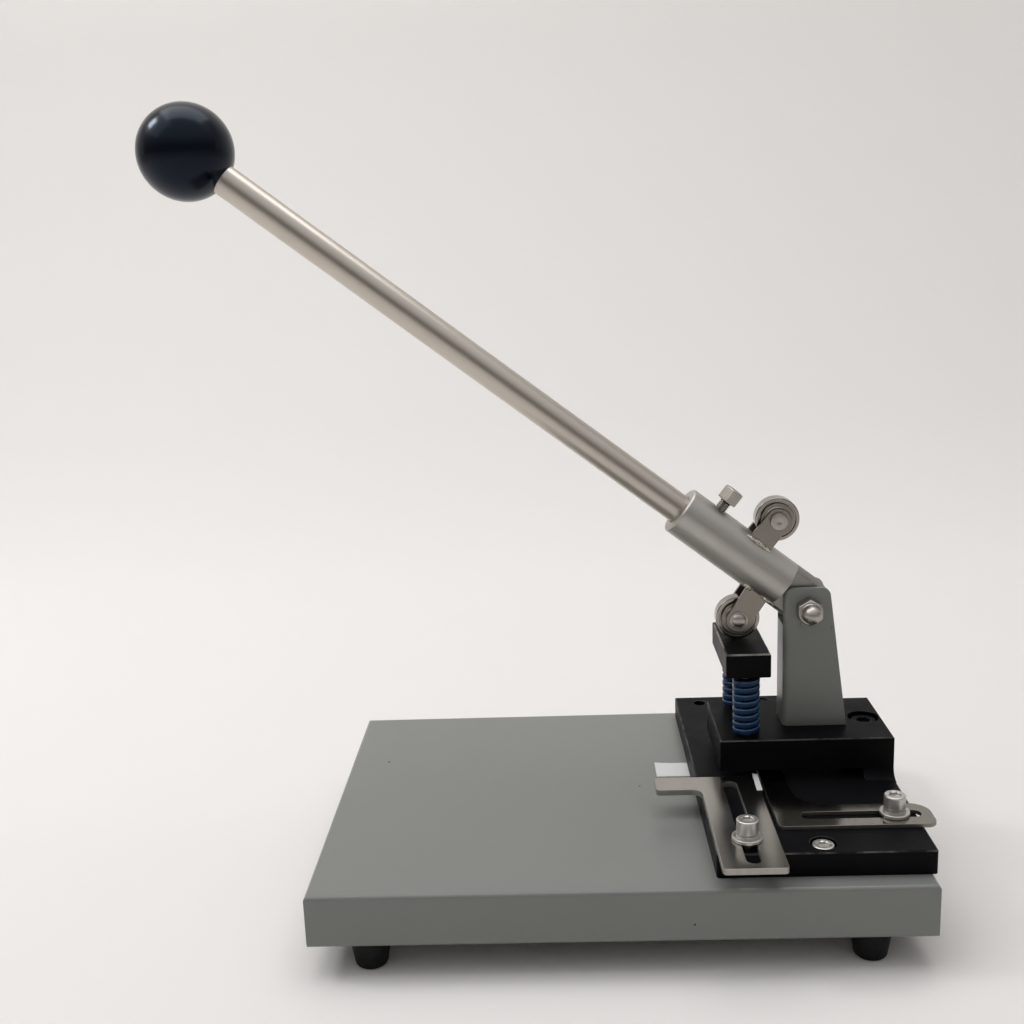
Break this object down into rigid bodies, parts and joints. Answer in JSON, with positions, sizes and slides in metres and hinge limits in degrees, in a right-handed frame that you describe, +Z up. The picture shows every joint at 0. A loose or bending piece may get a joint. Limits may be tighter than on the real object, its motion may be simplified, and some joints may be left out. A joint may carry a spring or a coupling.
{
  "type": "single hole punch press",
  "caption": "Desk lever press that punches one round hole: folded tray, die block with a card throat, roller lever with ball knob, spring-return punch, adjustable fence and end stop.",
  "frame": {"origin": "centre of the tray's footprint, on the desk under the rubber feet", "axes": "+X to the right, towards the die block; +Y to the back; +Z up. The lever lies in an XZ plane"},
  "size_m": [0.3636, 0.2131, 0.3894],
  "materials": {
    "tray_paint": "satin",
    "bracket_paint": "satin",
    "black_steel": "satin",
    "stainless": "satin",
    "bright_steel": "polished",
    "spring_paint": "gloss",
    "foot_rubber": "matt",
    "knob_plastic": "gloss",
    "brass": "polished"
  },
  "bodies": {
    "base": {"base_tray": "tray_paint", "foot_front_left": "foot_rubber", "foot_front_right": "foot_rubber", "foot_rear_left": "foot_rubber", "foot_rear_right": "foot_rubber", "foot_screws": "bright_steel", "foot_nuts": "bright_steel", "die_block": "black_steel", "die_bush": "stainless", "plate_screws": "bright_steel", "block_screw": "black_steel", "block_nuts": "bright_steel", "backing_plate": "stainless", "lever_bracket": "bracket_paint", "bracket_screws": "bright_steel", "fence_screw_bolt": "bright_steel", "fence_lock_washer": "bright_steel", "fence_washer": "bright_steel", "stop_screw_bolt": "bright_steel", "stop_lock_washer": "bright_steel", "stop_washer": "bright_steel", "return_spring_front": "spring_paint", "return_spring_rear": "spring_paint"},
    "crosshead": {"crosshead": "black_steel", "guide_post_front": "bright_steel", "guide_post_rear": "bright_steel", "punch_pin": "bright_steel"},
    "pivot": {"pivot_bolt": "bright_steel", "pivot_washer": "bright_steel", "pivot_nut": "bright_steel"},
    "lever": {"lever_head": "stainless", "handle_rod": "stainless", "ball_knob": "knob_plastic", "knob_insert": "brass", "clamp_bolt": "stainless", "lower_fork_front": "stainless", "lower_fork_rear": "stainless", "upper_fork_front": "stainless", "upper_fork_rear": "stainless", "lower_pin": "bright_steel", "upper_pin": "bright_steel", "lower_side_washers": "stainless", "upper_side_washers": "stainless", "lower_inner_ring": "bright_steel", "upper_inner_ring": "bright_steel"},
    "lower_roller": {"lower_roller": "bright_steel"},
    "upper_roller": {"upper_roller": "bright_steel"},
    "fence": {"fence_plate": "stainless"},
    "end_stop": {"end_stop_plate": "stainless"}
  },
  "joints": [
    {"name": "lever_press", "type": "hinge", "parent": "base", "child": "pivot", "pos_m": [0.1016, 0.009, 0.1343], "axis": [0, 1, 0], "range_deg": [-15.6, 0]},
    {"name": "lever_lift", "type": "hinge", "parent": "pivot", "child": "lever", "pos_m": [0.1016, 0.009, 0.1343], "axis": [0, 1, 0], "range_deg": [0, 85]},
    {"name": "crosshead_slide", "type": "slide", "parent": "base", "child": "crosshead", "axis": [0, 0, 1], "range_m": [-0.009, 0], "stiffness_N_per_m": 30000, "springref_m": 0.003, "deforming": ["return_spring_front", "return_spring_rear"]},
    {"name": "lower_roller_spin", "type": "hinge", "parent": "lever", "child": "lower_roller", "pos_m": [0.06751, 0.009, 0.12883], "axis": [0, 1, 0], "continuous": true},
    {"name": "upper_roller_spin", "type": "hinge", "parent": "lever", "child": "upper_roller", "pos_m": [0.08701, 0.009, 0.17946], "axis": [0, 1, 0], "continuous": true},
    {"name": "fence_slide", "type": "slide", "parent": "base", "child": "fence", "axis": [0, 1, 0], "range_m": [-0.052, 0.018]},
    {"name": "end_stop_slide", "type": "slide", "parent": "base", "child": "end_stop", "axis": [1, 0, 0], "range_m": [-0.002, 0.039]}
  ],
  "couplings": [
    {"joint": "crosshead_slide", "follows": "lever_press", "m_per_rad": 0.033}
  ]
}
